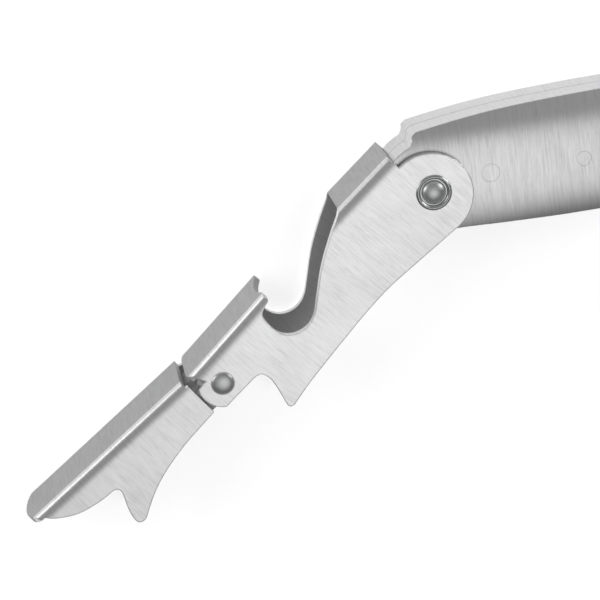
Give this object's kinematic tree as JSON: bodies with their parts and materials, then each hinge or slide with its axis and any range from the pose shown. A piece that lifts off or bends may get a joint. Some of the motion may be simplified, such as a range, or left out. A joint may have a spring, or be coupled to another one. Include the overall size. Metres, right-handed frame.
{
  "type": "waiters friend corkscrew",
  "caption": "Folding waiter's corkscrew in brushed stainless steel: hinged lever with a crown cap hook and bottle rests, wire worm and foil knife in a pressed handle.",
  "frame": {"origin": "middle of the bounding box on the floor it lies on", "axes": "the corkscrew lies on its side: +Z through its thickness along every pivot, +X along the handle to its rear end, +Y across to the handle's spine"},
  "size_m": [0.1838, 0.0638, 0.015],
  "materials": {
    "brushed_sheet": "pressed stainless sheet, brushed across its length",
    "lever_sheet": "bent stainless sheet, brushed across its length",
    "rivet_steel": "turned and peened steel with a dull shine",
    "plain_steel": "plain turned or rolled steel",
    "worm_steel": "drawn wire, bright",
    "blade_steel": "ground blade"
  },
  "bodies": {
    "handle": {"handle_shell_upper": "brushed_sheet", "handle_shell_lower": "brushed_sheet", "pivot_rivet": "rivet_steel", "pivot_bush": "plain_steel", "pivot_collar_upper": "rivet_steel", "pivot_collar_lower": "rivet_steel", "pivot_washer_upper": "plain_steel", "pivot_washer_lower": "plain_steel", "front_rivet": "brushed_sheet", "front_spacer": "plain_steel", "rear_rivet": "brushed_sheet", "rear_spacer": "plain_steel", "worm_pin": "brushed_sheet", "worm_washer_upper": "plain_steel", "worm_washer_lower": "plain_steel", "knife_rivet": "rivet_steel", "knife_spacer_upper": "plain_steel", "knife_spacer_lower": "plain_steel", "back_spring": "plain_steel"},
    "first_lever": {"first_lever": "lever_sheet", "hinge_rivet": "rivet_steel"},
    "second_lever": {"second_lever": "lever_sheet", "hinge_spacer": "plain_steel"},
    "worm": {"worm": "worm_steel", "worm_hub": "plain_steel"},
    "foil_knife": {"foil_knife": "blade_steel"}
  },
  "joints": [
    {"name": "lever_pivot", "type": "hinge", "parent": "handle", "child": "first_lever", "pos_m": [-0.0121, 0.01897, 0.0075], "axis": [0, 0, 1], "range_deg": [-23, 139.9]},
    {"name": "lever_hinge", "type": "hinge", "parent": "first_lever", "child": "second_lever", "pos_m": [-0.05368, -0.00873, 0.0075], "axis": [0, 0, 1], "range_deg": [-13, 5.8]},
    {"name": "worm_pivot", "type": "hinge", "parent": "handle", "child": "worm", "pos_m": [0.0154, 0.01987, 0.0075], "axis": [0, 0, 1], "range_deg": [-90, 0]},
    {"name": "knife_pivot", "type": "hinge", "parent": "handle", "child": "foil_knife", "pos_m": [0.0844, 0.02287, 0.0075], "axis": [0, 0, 1], "range_deg": [-175, 0]}
  ]
}
